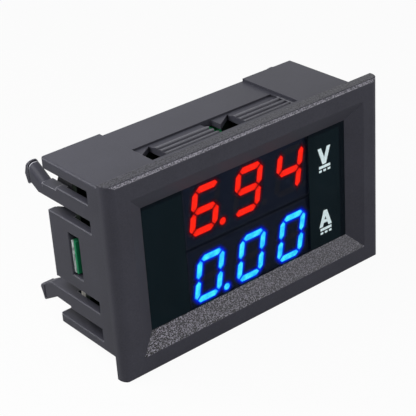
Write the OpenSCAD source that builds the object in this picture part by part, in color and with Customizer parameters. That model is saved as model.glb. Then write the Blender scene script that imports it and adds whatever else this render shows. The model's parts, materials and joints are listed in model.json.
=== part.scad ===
// Panel-mount voltage and current meter module with two three-digit displays.
// X runs to the right as seen from the front, Y runs rearwards through the panel, Z runs up.
// The origin is the centre of the bezel's rear face, where the panel's front face lies.

/* [Bezel] */
// Width of the bezel
bezel_w = 48; // [47:0.5:56]
// Height of the bezel
bezel_h = 29; // [28:0.5:36]
// Thickness of the bezel in front of the panel
bezel_t = 2.1; // [2:0.1:3]
// Radius of the bezel's two upright front edges
bezel_side_r = 1.6; // [0.8:0.1:1.9]
// Radius of the bezel's top and bottom front edges
bezel_edge_r = 0.55; // [0.2:0.05:0.8]

/* [Window] */
// Clear width of the window opening
window_w = 36.3; // [34:0.1:38]
// Clear height of the window opening
window_h = 18.5; // [17.5:0.1:19]
// Depth of the bevelled recess in front of the window
recess_depth = 1.45; // [1:0.05:1.5]
// Width of the sloping bevel round the window
bevel_w = 2.5; // [1.5:0.1:2.6]
// Thickness of the lip that holds the window sheet
window_lip = 0.3; // [0.2:0.05:0.5]
// Thickness of the window sheet's rim behind the lip
window_rim_t = 0.3; // [0.2:0.05:0.5]
// Width of the window sheet's rim behind the lip
window_rim_w = 0.9; // [0.5:0.1:1]

/* [Body] */
// Width of the body that passes through the panel
body_w = 45.2; // [44:0.1:46]
// Height of the body that passes through the panel
body_h = 25.8; // [25.4:0.1:27]
// Depth of the body behind the panel's front face
body_d = 14.9; // [14:0.1:20]
// Radius of the body's long edges
body_r = 0.4; // [0.2:0.1:0.8]
// Radius of the body's upright rear corners
body_corner_r = 0.5; // [0.2:0.1:0.8]
// Radius of the body's lower rear edge
body_foot_r = 1.1; // [0.6:0.1:1.3]
// Thickness of the side walls
side_wall = 1.2; // [1:0.1:1.4]
// Thickness of the top and bottom walls
top_wall = 1.5; // [1.3:0.1:1.6]

/* [Grip tongues] */
// Width of the shallow recess in the top and bottom walls
grip_recess_w = 25.8; // [25.4:0.1:28]
// Depth of that recess
grip_recess_d = 0.4; // [0.2:0.05:0.5]
// Distance from the panel's front face to the grip slot
grip_slot_y = 3.1; // [2.5:0.1:3.4]
// Size of the grip slot along the depth
grip_slot_d = 5.2; // [5:0.1:5.6]
// Length of the grip slot
grip_slot_w = 24.8; // [24:0.1:25]
// Length of one grip tongue
tongue_l = 9.1; // [8.6:0.1:9.6]
// Distance from the start of one tongue to the start of the next
tongue_pitch = 13.8; // [12.5:0.1:14]
// Start of the first tongue, measured from the slot's end
tongue_start = 2.6; // [2:0.1:2.8]
// Gap in front of a tongue's free edge
tongue_gap = 0.9; // [0.6:0.1:1]
// Number of gripping teeth on a tongue
tooth_count = 3; // [2:1:3]
// Distance between gripping teeth
tooth_pitch = 1.1; // [1:0.1:1.35]
// Height of a gripping tooth
tooth_h = 0.36; // [0.2:0.02:0.6]
// How far the tongue's root lies below the recess
tongue_drop = 0.3; // [0.2:0.05:0.45]
// Width of the thin web beside a tongue's root
web_w = 2.1; // [1.5:0.1:2.6]

/* [Spring arms] */
// Start of the side slots behind the panel's front face
arm_root_y = 4.6; // [3.5:0.1:6]
// Height of the upper arm's lower edge above the middle
arm_low = 7.05; // [6.5:0.05:7.5]
// Height of the thin part of an arm
arm_h = 2.4; // [1.8:0.1:2.6]
// Start of the thick rear part of an arm
arm_step_y = 11.7; // [11:0.1:12.5]
// Step down from the thin part to the thick part
arm_step = 0.45; // [0.2:0.05:0.8]
// Thickness of the rear part of an arm
arm_t = 1.9; // [1.7:0.1:2.2]
// How far an arm reaches behind the body's rear edge
arm_reach = 4.6; // [4.3:0.1:5.2]
// How far the outer edge of an arm's end flares away from the middle
arm_flare = 1.7; // [1.6:0.1:2]
// How far the inner edge of an arm's end flares away from the middle
arm_flare_in = 0.95; // [0.7:0.05:1.2]
// Radius along the top edges of an upper arm's flared end
arm_round = 0.8; // [0.4:0.05:0.8]
// Height of the middle panel between the arms
mid_panel_h = 10.35; // [9:0.05:11]
// Radius of the middle panel's rear corners
panel_corner_r = 0.45; // [0.2:0.05:0.8]

/* [Circuit board] */
// Distance from the panel's front face to the board
board_y = 9.2; // [9:0.1:9.6]
// Thickness of the board
board_t = 1; // [0.8:0.1:1.4]
// Gap between the board and the walls round it
board_gap = 0.35; // [0.2:0.05:0.5]
// Height of the tab in each side window
tab_h = 4.9; // [4:0.1:6]
// How far a tab's edge lies below the side wall's outer face
tab_inset = 0.3; // [0.1:0.05:0.5]
// Height of the side windows that take the tabs
side_window_h = 6.5; // [6.2:0.1:8]
// Width of the side windows that take the tabs
side_window_w = 2.4; // [2:0.1:3]
// Height of the ribs that the board's front face rests on
rib_h = 1.1; // [0.9:0.1:1.3]
// How far the hooks behind the board stand in from the side walls
hook_t = 1.1; // [0.8:0.05:1.2]

/* [Displays] */
// Width of a display
display_w = 22.6; // [22:0.1:24]
// Height of a display
display_h = 10; // [9.6:0.1:10.4]
// Depth of a display
display_d = 7; // [6:0.1:7.5]
// Distance between the centres of the two displays
display_pitch = 10.4; // [10.4:0.1:11]
// Shift of the displays to the right of the middle
display_x = 0.3; // [0:0.1:1]
// Shift of the displays above the middle
display_z = -0.4; // [-0.5:0.1:0]
// Height of a digit
digit_h = 7.1; // [6:0.1:7.4]
// Width of a digit
digit_w = 4.9; // [4:0.1:5]
// Distance between digits
digit_pitch = 7.6; // [7.2:0.1:7.7]
// Width of a segment
segment_w = 1; // [0.7:0.05:1.1]
// Gap between neighbouring segments
segment_gap = 0.1; // [0.05:0.01:0.15]
// Depth of a segment's clear filling
segment_d = 0.8; // [0.4:0.1:1.5]
// Slant of the digits in degrees
digit_slant = 10; // [0:1:12]
// Radius of a decimal point
point_r = 0.55; // [0.3:0.05:0.6]
// Gap between a digit and its decimal point
point_gap = 0.4; // [0.2:0.05:0.5]

/* [Headers] */
// Length of the three-pin signal header
signal_l = 9.8; // [9.6:0.1:11]
// Width of the three-pin signal header
signal_w = 5.7; // [5.4:0.1:6.2]
// Distance between the signal pins
signal_pitch = 2.5; // [2:0.1:2.54]
// Thickness of a signal pin
signal_pin = 0.64; // [0.5:0.02:0.7]
// Length of the two-pin current header
current_l = 8.8; // [8.6:0.1:9.6]
// Width of the two-pin current header
current_w = 6.8; // [6.4:0.1:7.2]
// Distance between the current pins
current_pitch = 3.96; // [3.5:0.02:4.2]
// Thickness of a current pin
current_pin = 1.1; // [0.9:0.05:1.2]
// Height of a header above the board
header_h = 6.8; // [6:0.1:8]
// Wall thickness of a header
header_wall = 0.8; // [0.7:0.05:0.9]
// Floor thickness of a header
header_floor = 1.5; // [1:0.1:2]

/* [Board parts] */
// Diameter of the shunt bar
shunt_d = 1.5; // [1:0.1:1.8]
// Length of the shunt bar between its legs
shunt_l = 9; // [7:0.1:9.4]
// Height of the shunt bar's axis above the board
shunt_h = 1.9; // [1.7:0.1:2.5]
// Width of a trimmer
trimmer_w = 3.2; // [3:0.1:3.4]
// Height of a trimmer's base
trimmer_base_t = 0.9; // [0.7:0.1:1.2]
// Radius of a trimmer's rotor
rotor_r = 1.35; // [1.2:0.05:1.45]
// Thickness of a trimmer's rotor
rotor_t = 0.55; // [0.5:0.05:0.8]
// Diameter of the storage capacitor
capacitor_d = 6.3; // [5:0.1:6.5]
// Height of the storage capacitor's can
capacitor_h = 5.2; // [5:0.1:6]

/* [Hidden] */
$fn = 48;

// Small running values
eps = 0.2;            // overlap of shapes that are joined or cut through
fit_gap = 0.05;       // play round a piece that drops into a pocket
pin_gap = 0.03;       // play round a square pin in its hole

// Colours
grey_moulding = [0.25, 0.25, 0.27];
display_black = [0.1, 0.1, 0.11];
unlit_grey = [0.2, 0.2, 0.2];
chip_black = [0.12, 0.12, 0.13];
tin = [0.8, 0.8, 0.82];
nylon = [0.93, 0.92, 0.88];
trimmer_blue = [0.2, 0.35, 0.7];
rotor_grey = [0.75, 0.75, 0.74];

// Window and cavity, worked back from the bezel's front face
recess_y = -bezel_t + recess_depth;
rim_y = recess_y + window_lip;
cavity_y = rim_y + window_rim_t;
cavity_w = body_w - 2 * side_wall;
cavity_h = body_h - 2 * top_wall;
inner_z = cavity_h / 2;

// Grip recess, slot and tongues
grip_floor_z = body_h / 2 - grip_recess_d;
tongue_z = grip_floor_z - tongue_drop;
grip_slot_rear = grip_slot_y + grip_slot_d;
tongue_front = grip_slot_y + tongue_gap;
tooth_face = tooth_h / 2;
web_end = 0.15;       // width of a web where it meets the tongue

// Spring arms
body_x = body_w / 2;
arm_top = arm_low + arm_h;
thick_top = arm_top - arm_step;
arm_end_y = body_d + arm_reach;
lower_arm_round = 0.25;
lip_t = 1;            // thickness of the lip at an arm's end
upper_lip_over = 0.35;   // how far an upper arm's lip stands out past the arm's inner edge
lower_lip_over = -0.3;   // the same for a lower arm, where the lip stands back
lip_bevel = 0.5;      // bevel on the lip's inner edge
lip_fall = 0.1;       // thickness of the lip at its outer edge
lip_groove_w = 0.25;      // groove in front of the lip
lip_groove_d = 0.15;
lip_y = arm_end_y - lip_t;
tip_y = lip_y - lip_groove_w;
flare_y = body_d + 0.4;
bend_y = body_d + 1.6;
flare_slope = atan(arm_flare / (tip_y - flare_y));

// Board, its front ribs and its rear hooks
board_w = cavity_w - 2 * board_gap;
board_h = cavity_h - 2 * board_gap;
board_rear = board_y + board_t;
tab_x = body_x - tab_inset;
tab_z = display_z;    // the tabs lie level with the gap between the displays
score_w = 0.24;       // half width of the score mark in a tab's sawn edge
score_d = 0.15;       // depth of that mark
rib_w = 1.2;
rib_x = board_w / 2 - 4.5;
rib_l = 5;
hook_y = board_rear + fit_gap;
hook_lead = 1;        // length of a hook's lead-in slope
hook_end_t = 0.35;    // how far a hook still stands in at its rear end
hook_rear = body_d - body_corner_r;
side_window_rear = board_rear + fit_gap;

// Displays
display_rear = cavity_y + display_d;
upper_z = display_z + display_pitch / 2;
lower_z = display_z - display_pitch / 2;
display_pin_pitch = 2.54;
display_row_gap = 8.1;    // distance between a display's two rows of pins
display_pin_r = 0.25;
display_pin_count = 6;
board_hole_r = 0.4;
upper_numerals = [6, 9, 4];
lower_numerals = [0, 0, 0];
digit_count = len(upper_numerals);
segment_count = 7;

// Headers: they follow the board's edges
header_edge = 1.6;    // distance from the board's edge to a header
header_top = board_rear + header_h;
header_pin_top = header_top - 1.5;
key_floor = board_rear + header_floor + 1;
signal_count = 3;
signal_key_w = 1.2;
signal_x = board_w / 2 - header_edge - signal_w / 2;
signal_z = board_h / 2 - header_edge - signal_l / 2;
current_count = 2;
current_key_w = 3;
current_x = -board_w / 2 + header_edge + current_w / 2;
current_z = -board_h / 2 + header_edge + current_l / 2;

// Shunt: above the current header
shunt_bend_r = shunt_d / 2 + 0.15;
shunt_x = -board_w / 2 + header_edge + shunt_l / 2 + 0.6;
shunt_z = current_z + current_l / 2 + shunt_d / 2 + 1.2;

// Trimmers: on the middle line of the upper display
trimmer_x = 5.2;
trimmer_h = 3.8;
trimmer_corner_r = 0.4;
terminal_size = [0.8, 0.5, 0.45];
terminal_x = 0.9;     // sideways place of a trimmer's outer terminals
post_r = 0.45;
rotor_gap = 0.05;     // running gap under and inside a rotor
rotor_y = board_rear + trimmer_base_t + rotor_gap;
rotor_top = rotor_y + rotor_t;
driver_slot_w = 0.4;
driver_slot_l = 1.9;
driver_slot_d = 0.3;

// Chips: size along X, Z and Y, and a lead's pitch, width and thickness
chip_lift = 0.1;
chip_lean = 0.12;     // how far a chip's sides lean in for each unit of height
dimple_r = 0.35;      // mark beside a chip's first lead
dimple_d = 0.12;
dimple_in = 0.95;     // distance from a chip's sides to the mark
lead_reach = 1;
lead_knee = 0.45;     // distance from a chip's side to the knee of its leads
microcontroller_size = [6.5, 4.4, 1];
microcontroller_lead_count = 10;
microcontroller_lead = [0.65, 0.25, 0.15];
microcontroller_x = -2.4;
amplifier_size = [4.9, 3.9, 1.45];
amplifier_lead_count = 4;
amplifier_lead = [1.27, 0.4, 0.2];
amplifier_x = signal_x - 1.2;
amplifier_z = -board_h / 2 + 5;
regulator_size = [4.4, 2.5, 1.5];
regulator_lead_count = 3;
regulator_lead = [1.5, 0.44, 0.4];
regulator_tab_w = 1.8;
regulator_reach = 0.9;
diode_size = [2.6, 4.2, 2.1];
diode_lead = [1.4, 1.1, 0.3];
diode_x = 4.6;

// Storage capacitor: in the board's upper corner, beside the hook
capacitor_gap = 0.2;  // gap between the can and the hook
capacitor_edge = 0.7; // distance from the board's upper edge to the can
capacitor_x = -cavity_w / 2 + hook_t + capacitor_gap + capacitor_d / 2;
capacitor_z = board_h / 2 - capacitor_edge - capacitor_d / 2;
seal_t = 0.5;         // thickness of the seal that the can stands on
seal_in = 0.3;        // how far the seal stands back from the can
can_groove_r = 0.25;
can_groove_y = 1.1;
can_edge_r = 0.35;

// Small chips: a column beside the displays' pins and a row between the two displays
chip_l = 1.2;
chip_w = 0.8;
ceramic_t = 0.8;
resistor_t = 0.5;
chip_cap_l = 0.2;
chip_column_x = 9.6;
chip_column_count = 7;
chip_column_pitch = 2.4;
chip_row_count = 6;
chip_row_pitch = 2.3;

// Solder joints: cones that stand over the pins' ends
joint_h = 0.55;
joint_margin = 0.35;  // solder round a pin's widest point
joint_taper = 0.45;   // share of a joint's radius that is left at its tip

// Place of copy k of a row about its middle
function spread(k, count, pitch) = (k - (count - 1) / 2) * pitch;

// Shared shapes
module block(x, y, z) {
    translate([x[0], y[0], z[0]]) cube([x[1] - x[0], y[1] - y[0], z[1] - z[0]]);
}
// Prism along X whose profile is given in Y and Z
module prism_x(profile, x) {
    translate([x[0], 0, 0]) rotate([90, 0, 90]) linear_extrude(x[1] - x[0]) polygon(profile);
}
// Prism along Z whose profile is given in X and Y
module prism_z(profile, z) {
    translate([0, 0, z[0]]) linear_extrude(z[1] - z[0]) polygon(profile);
}
// Carries a flat shape drawn in X and Z to a solid between two depths
module along_y(y) {
    translate([0, y[1], 0]) rotate([90, 0, 0]) linear_extrude(y[1] - y[0]) children();
}
// Round bar along Y
module rod(r, y) {
    translate([0, y[0], 0]) rotate([-90, 0, 0]) cylinder(r = r, h = y[1] - y[0]);
}
// Square bar along Y
module square_rod(side, y) {
    block([-side / 2, side / 2], y, [-side / 2, side / 2]);
}
module left_and_right() {
    children();
    mirror([1, 0, 0]) children();
}
module top_and_bottom() {
    children();
    mirror([0, 0, 1]) children();
}
// Strip from 0 to a depth whose two corners at 0 are rounded
module rounded_strip(length, depth, r) {
    translate([-length / 2, r]) square([length, depth - r]);
    translate([-length / 2 + r, 0]) square([length - 2 * r, depth]);
    for (side = [-1, 1])
        translate([side * (length / 2 - r), r]) circle(r);
}
module rounded_rectangle(w, h, r) {
    translate([0, -h / 2]) rounded_strip(w, h - r, r);
    translate([0, h / 2]) mirror([0, 1]) rounded_strip(w, h - r, r);
}

// Bezel: one rounded strip along Z crossed with one along X
module bezel_plate() {
    intersection() {
        translate([0, -bezel_t, -bezel_h / 2])
            linear_extrude(bezel_h) rounded_strip(bezel_w, bezel_t, bezel_side_r);
        translate([-bezel_w / 2, -bezel_t, 0]) rotate([0, 90, 0])
            linear_extrude(bezel_w) rounded_strip(bezel_h, bezel_t, bezel_edge_r);
    }
}
module body_tube() {
    intersection() {
        along_y([-eps, body_d]) rounded_rectangle(body_w, body_h, body_r);
        translate([0, body_d, -body_h / 2]) linear_extrude(body_h)
            mirror([0, 1]) rounded_strip(body_w, body_d + eps, body_corner_r);
    }
}
// Clears the outside of a rounded edge along X, at the rear lower corner of a profile in Y and Z
module edge_clearance(y, z, r) {
    difference() {
        block([-body_x - eps, body_x + eps], [y - r, y + eps], [z - eps, z + r]);
        translate([-body_x - 2 * eps, y - r, z + r]) rotate([0, 90, 0])
            cylinder(r = r, h = body_w + 4 * eps);
    }
}
module cavity() {
    block([-cavity_w / 2, cavity_w / 2], [cavity_y, body_d + eps], [-inner_z, inner_z]);
}
// Sloping bevel, straight opening and the pocket for the window's rim
module window_opening() {
    slope = bevel_w / recess_depth;
    front_x = window_w / 2 + bevel_w + slope * eps;
    front_z = window_h / 2 + bevel_w + slope * eps;
    front_y = -bezel_t - eps;
    pocket_x = window_w / 2 + window_rim_w;
    pocket_z = window_h / 2 + window_rim_w;
    intersection() {
        prism_z([[-front_x, front_y], [front_x, front_y],
                 [window_w / 2, recess_y], [-window_w / 2, recess_y]], [-front_z, front_z]);
        prism_x([[front_y, -front_z], [front_y, front_z],
                 [recess_y, window_h / 2], [recess_y, -window_h / 2]], [-front_x, front_x]);
    }
    block([-window_w / 2, window_w / 2], [recess_y - eps, cavity_y + eps],
          [-window_h / 2, window_h / 2]);
    block([-pocket_x, pocket_x], [rim_y, cavity_y + eps], [-pocket_z, pocket_z]);
}
module grip_cut() {
    block([-grip_recess_w / 2, grip_recess_w / 2], [grip_slot_y, body_d + eps],
          [grip_floor_z, body_h / 2 + eps]);
    block([-grip_slot_w / 2, grip_slot_w / 2], [grip_slot_y, grip_slot_rear],
          [inner_z - eps, body_h / 2 + eps]);
}
// Tongue rooted at the slot's rear edge, with steep tooth faces towards the panel
module grip_tongue(x0) {
    rear = grip_slot_rear + eps;
    web_x = x0 - tongue_start - eps / 2;
    teeth = [for (k = [tooth_count - 1:-1:0], p = [
        [tongue_front + (k + 1) * tooth_pitch, tongue_z],
        [tongue_front + k * tooth_pitch + tooth_face, tongue_z + tooth_h],
        [tongue_front + k * tooth_pitch, tongue_z]]) p];
    prism_x(concat([[tongue_front, inner_z], [rear, inner_z], [rear, tongue_z]], teeth),
            [x0, x0 + tongue_l]);
    prism_z([[x0 + eps, rear], [web_x, rear], [web_x, grip_slot_rear - web_w],
             [x0 + eps, grip_slot_rear - web_end]], [inner_z, tongue_z]);
}
module grip_tongues() {
    for (k = [0, 1]) grip_tongue(-grip_slot_w / 2 + tongue_start + k * tongue_pitch);
}
// Clears the side wall round one arm, from its root to the open rear, and rounds the panel's corner
module arm_clearance() {
    block([cavity_w / 2 - eps, body_x + eps], [arm_root_y, body_d + eps],
          [mid_panel_h / 2, inner_z]);
    mirror([0, 0, 1]) intersection() {
        edge_clearance(body_d, -mid_panel_h / 2, panel_corner_r);
        block([cavity_w / 2 - eps, body_x + eps], [0, body_d + eps], [-inner_z, 0]);
    }
}
// Rear part of an arm with sharp edges, from its step to the lip at its end
module arm_rear(lip_over) {
    low_end = arm_low + arm_flare_in;
    top_end = arm_top + arm_flare;
    lip_low = low_end - lip_over;
    prism_x([[arm_step_y, arm_low], [bend_y, arm_low], [tip_y, low_end], [lip_y, lip_low],
             [arm_end_y - lip_bevel, lip_low], [arm_end_y, low_end + 2 * lip_bevel],
             [lip_y + lip_fall, top_end], [tip_y, top_end],
             [flare_y, thick_top], [arm_step_y, thick_top]], [body_x - arm_t, body_x]);
}
// Bar along the flared end's slope, with round outer edges
module flare_bar(r, inset) {
    depth = arm_h + arm_flare;
    length = arm_end_y - arm_step_y;
    translate([body_x - arm_t / 2, flare_y, thick_top]) rotate([flare_slope, 0, 0])
        along_y([-depth, length]) mirror([0, 1]) translate([0, inset])
            rounded_strip(arm_t - 2 * inset, depth, r - inset);
}
module lip_groove(r) {
    difference() {
        block([body_x - arm_t - eps, body_x + eps], [tip_y, lip_y], [arm_low, arm_top + arm_flare]);
        flare_bar(r, lip_groove_d);
    }
}
module spring_arm(r, lip_over) {
    block([body_x - side_wall, body_x], [arm_root_y - eps, arm_step_y + eps], [arm_low, arm_top]);
    intersection() {
        arm_rear(lip_over);
        block([0, body_x], [arm_step_y, flare_y], [0, arm_top]);
    }
    difference() {
        intersection() {
            arm_rear(lip_over);
            flare_bar(r, 0);
        }
        lip_groove(r);
    }
}
module side_window() {
    block([cavity_w / 2 - eps, body_x + eps], [side_window_rear - side_window_w, side_window_rear],
          [-side_window_h / 2, side_window_h / 2]);
}
module board_rib() {
    block([rib_x - rib_w / 2, rib_x + rib_w / 2], [board_y - rib_l, board_y],
          [inner_z - rib_h, inner_z + eps]);
}
// Hook on the middle panel's inner face: flat against the board, sloping towards the rear
module board_hook() {
    wall_x = cavity_w / 2;
    prism_z([[wall_x + eps, hook_y], [wall_x - hook_t, hook_y],
             [wall_x - hook_t, hook_rear - hook_lead], [wall_x - hook_end_t, hook_rear],
             [wall_x + eps, hook_rear]], [-mid_panel_h / 2, mid_panel_h / 2]);
}
module housing() color(grey_moulding) {
    difference() {
        union() {
            bezel_plate();
            body_tube();
        }
        cavity();
        window_opening();
        top_and_bottom() grip_cut();
        left_and_right() top_and_bottom() arm_clearance();
        left_and_right() side_window();
        edge_clearance(body_d, -body_h / 2, body_foot_r);
    }
    top_and_bottom() grip_tongues();
    left_and_right() {
        spring_arm(arm_round, upper_lip_over);
        mirror([0, 0, 1]) spring_arm(lower_arm_round, lower_lip_over);
    }
    left_and_right() top_and_bottom() board_rib();
    left_and_right() board_hook();
}

// Tinted sheet: a raised field that fills the opening, and a rim held behind the lip
module window() color([0.05, 0.1, 0.12, 0.7]) {
    field_x = window_w / 2 - fit_gap;
    field_z = window_h / 2 - fit_gap;
    rim_x = field_x + window_rim_w;
    rim_z = field_z + window_rim_w;
    block([-field_x, field_x], [recess_y, cavity_y], [-field_z, field_z]);
    block([-rim_x, rim_x], [rim_y, cavity_y], [-rim_z, rim_z]);
}

// Which of the segments a to g are lit for a numeral
function lit_segments(numeral) =
    numeral == 0 ? [1, 1, 1, 1, 1, 1, 0] :
    numeral == 4 ? [0, 1, 1, 0, 0, 1, 1] :
    numeral == 6 ? [1, 0, 1, 1, 1, 1, 1] :
    [1, 1, 1, 1, 0, 1, 1];
function slanted(p) = [p[0] + p[1] * tan(digit_slant), p[1]];
// Six-sided bar of half length a about a centre, lying or upright
function bar_points(centre, a, upright) =
    let (b = segment_w / 2)
    [for (p = [[-a, 0], [-a + b, b], [a - b, b], [a, 0], [a - b, -b], [-a + b, -b]])
        slanted(centre + (upright ? [p[1], p[0]] : p))];
// Outline of segment j of a digit, a to g, about the digit's centre
function segment_points(j) =
    let (reach_x = (digit_w - segment_w) / 2, reach_z = (digit_h - segment_w) / 2,
         lying = reach_x - segment_gap, standing = reach_z / 2 - segment_gap,
         side = j < 3 ? 1 : -1, level = j == 1 || j == 5 ? 1 : -1)
    j == 0 ? bar_points([0, reach_z], lying, false) :
    j == 3 ? bar_points([0, -reach_z], lying, false) :
    j == 6 ? bar_points([0, 0], lying, false) :
    bar_points([side * reach_x, level * reach_z / 2], standing, true);
// All segments and points of a display whose lit state is the one asked for
module segment_shapes(numerals, lit) {
    point = slanted([digit_w / 2 + point_r + point_gap, -(digit_h - segment_w) / 2]);
    for (k = [0:digit_count - 1])
        translate([spread(k, digit_count, digit_pitch), 0]) {
            for (j = [0:segment_count - 1])
                if (lit_segments(numerals[k])[j] == lit) polygon(segment_points(j));
            if ((k == 0 ? 1 : 0) == lit) translate(point) circle(point_r);
        }
}
module segments(numerals, lit, z) {
    translate([display_x, 0, z]) along_y([cavity_y, cavity_y + segment_d])
        segment_shapes(numerals, lit);
}
module display_body(numerals, z) {
    translate([display_x, 0, z]) difference() {
        block([-display_w / 2, display_w / 2], [cavity_y, display_rear],
              [-display_h / 2, display_h / 2]);
        along_y([cavity_y - eps, cavity_y + segment_d])
            for (lit = [0, 1]) segment_shapes(numerals, lit);
    }
}
// Carries its children to each pin of a display
module at_display_pins(z) {
    for (row = [-1, 1], k = [0:display_pin_count - 1])
        translate([display_x + spread(k, display_pin_count, display_pin_pitch), 0,
                   z + row * display_row_gap / 2]) children();
}
module display_pins(z) {
    at_display_pins(z) rod(display_pin_r, [display_rear, board_rear]);
}
module upper_display() color(display_black) display_body(upper_numerals, upper_z);
module upper_lit_segments() color([1, 0.12, 0.06]) segments(upper_numerals, 1, upper_z);
module upper_dark_segments() color(unlit_grey) segments(upper_numerals, 0, upper_z);
module upper_display_pins() color(tin) display_pins(upper_z);
module lower_display() color(display_black) display_body(lower_numerals, lower_z);
module lower_lit_segments() color([0.1, 0.6, 1]) segments(lower_numerals, 1, lower_z);
module lower_dark_segments() color(unlit_grey) segments(lower_numerals, 0, lower_z);
module lower_display_pins() color(tin) display_pins(lower_z);

// Carries its children to each of a row of header pins along Z
module at_header_pins(x, z, count, pitch) {
    for (k = [0:count - 1]) translate([x, 0, z + spread(k, count, pitch)]) children();
}
module at_signal_pins() {
    at_header_pins(signal_x, signal_z, signal_count, signal_pitch) children();
}
module at_current_pins() {
    at_header_pins(current_x, current_z, current_count, current_pitch) children();
}
// Square holes that the header pins pass through, between two depths
module signal_pin_holes(y) {
    at_signal_pins() square_rod(signal_pin + 2 * pin_gap, y);
}
module current_pin_holes(y) {
    at_current_pins() square_rod(current_pin + 2 * pin_gap, y);
}
// Open-topped shroud standing on the board's rear face
module shroud(x, z, w, l) {
    inner_x = w / 2 - header_wall;
    inner_z = l / 2 - header_wall;
    translate([x, 0, z]) difference() {
        block([-w / 2, w / 2], [board_rear, header_top], [-l / 2, l / 2]);
        block([-inner_x, inner_x], [board_rear + header_floor, header_top + eps],
              [-inner_z, inner_z]);
    }
}
// Key slot through one long wall of a shroud, at a place along it
module key_slot(x, z, w, width) {
    translate([x, 0, z])
        block([-w / 2 - eps, -w / 2 + header_wall + eps], [key_floor, header_top + eps],
              [-width / 2, width / 2]);
}
module signal_header() color(nylon) difference() {
    shroud(signal_x, signal_z, signal_w, signal_l);
    for (side = [-1, 1])
        key_slot(signal_x, signal_z + side * signal_pitch, signal_w, signal_key_w);
    signal_pin_holes([board_rear - eps, header_top]);
}
module current_header() color(nylon) difference() {
    shroud(current_x, current_z, current_w, current_l);
    key_slot(current_x, current_z, current_w, current_key_w);
    current_pin_holes([board_rear - eps, header_top]);
}
module signal_pins() color(tin) at_signal_pins() square_rod(signal_pin, [board_y, header_pin_top]);
module current_pins() color(tin)
    at_current_pins() square_rod(current_pin, [board_y, header_pin_top]);

// Bent shunt bar standing on its two legs
module current_shunt() color([0.72, 0.55, 0.35]) {
    straight = shunt_l / 2 - shunt_bend_r;
    translate([shunt_x, board_rear + shunt_h, shunt_z]) {
        rotate([0, 90, 0]) cylinder(d = shunt_d, h = 2 * straight, center = true);
        for (turn = [0, 180]) rotate([0, turn, 0]) translate([straight, -shunt_bend_r, 0]) {
            rotate_extrude(angle = 90) translate([shunt_bend_r, 0]) circle(d = shunt_d);
            translate([shunt_bend_r, 0, 0]) rod(shunt_d / 2, [shunt_bend_r - shunt_h, 0]);
        }
    }
}

// Trimmer: base with a post, and the rotor that turns on the post
module trimmer_base(x) {
    translate([x, 0, upper_z]) {
        along_y([board_rear, board_rear + trimmer_base_t])
            rounded_rectangle(trimmer_w, trimmer_h, trimmer_corner_r);
        rod(post_r, [board_rear, rotor_top]);
    }
}
module trimmer_rotor(x) {
    translate([x, 0, upper_z]) difference() {
        rod(rotor_r, [rotor_y, rotor_top]);
        rod(post_r + rotor_gap, [rotor_y - eps, rotor_top + eps]);
        for (turn = [0, 90]) rotate([0, turn, 0])
            block([-driver_slot_l / 2, driver_slot_l / 2], [rotor_top - driver_slot_d, rotor_top + eps],
                  [-driver_slot_w / 2, driver_slot_w / 2]);
    }
}
module voltage_trimmer() color(trimmer_blue) trimmer_base(-trimmer_x);
module current_trimmer() color(trimmer_blue) trimmer_base(trimmer_x);
module voltage_trimmer_rotor() color(rotor_grey) trimmer_rotor(-trimmer_x);
module current_trimmer_rotor() color(rotor_grey) trimmer_rotor(trimmer_x);
// Two terminals below each trimmer and one above it
module trimmer_terminals() color(tin) {
    offset_z = (trimmer_h + terminal_size[2]) / 2;
    for (x = [-trimmer_x, trimmer_x], spot = [[-terminal_x, -1], [terminal_x, -1], [0, 1]])
        translate([x + spot[0] - terminal_size[0] / 2, board_rear,
                   upper_z + spot[1] * offset_z - terminal_size[2] / 2]) cube(terminal_size);
}

// Moulded chip body on or just above the board, leaning in both ways from its parting line
module chip(x, z, size, lift) {
    half = size / 2;
    lean = chip_lean * half[2];
    translate([x, board_rear + lift, z]) intersection() {
        prism_z([[lean - half[0], 0], [half[0] - lean, 0], [half[0], half[2]],
                 [half[0] - lean, size[2]], [lean - half[0], size[2]], [-half[0], half[2]]],
                [-half[1], half[1]]);
        prism_x([[0, lean - half[1]], [half[2], -half[1]], [size[2], lean - half[1]],
                 [size[2], half[1] - lean], [half[2], half[1]], [0, half[1] - lean]],
                [-half[0], half[0]]);
    }
}
// Chip with a shallow round mark beside its first lead
module marked_chip(x, z, size) {
    top = board_rear + chip_lift + size[2];
    difference() {
        chip(x, z, size, chip_lift);
        translate([x - size[0] / 2 + dimple_in, 0, z - size[1] / 2 + dimple_in])
            rod(dimple_r, [top - dimple_d, top + eps]);
    }
}
// One bent lead that leaves a chip at a height and stands on the board
module bent_lead(width, leave, t) {
    prism_x([[leave - t / 2, 0], [leave + t / 2, 0], [leave + t / 2, lead_knee + t],
             [t, lead_knee + t], [t, lead_reach], [0, lead_reach], [0, lead_knee],
             [leave - t / 2, lead_knee]], [-width / 2, width / 2]);
}
// Leads along both long sides of a chip
module chip_leads(x, z, size, count, lead) {
    leave = chip_lift + size[2] / 2;
    for (k = [0:count - 1])
        translate([x + spread(k, count, lead[0]), board_rear, z])
            top_and_bottom() translate([0, 0, size[1] / 2]) bent_lead(lead[1], leave, lead[2]);
}
module microcontroller() color(chip_black)
    marked_chip(microcontroller_x, lower_z, microcontroller_size);
module microcontroller_leads() color(tin)
    chip_leads(microcontroller_x, lower_z, microcontroller_size,
               microcontroller_lead_count, microcontroller_lead);
module amplifier_chip() color(chip_black) marked_chip(amplifier_x, amplifier_z, amplifier_size);
module amplifier_leads() color(tin)
    chip_leads(amplifier_x, amplifier_z, amplifier_size, amplifier_lead_count, amplifier_lead);
module voltage_regulator() color(chip_black) chip(0, upper_z, regulator_size, 0);
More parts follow.
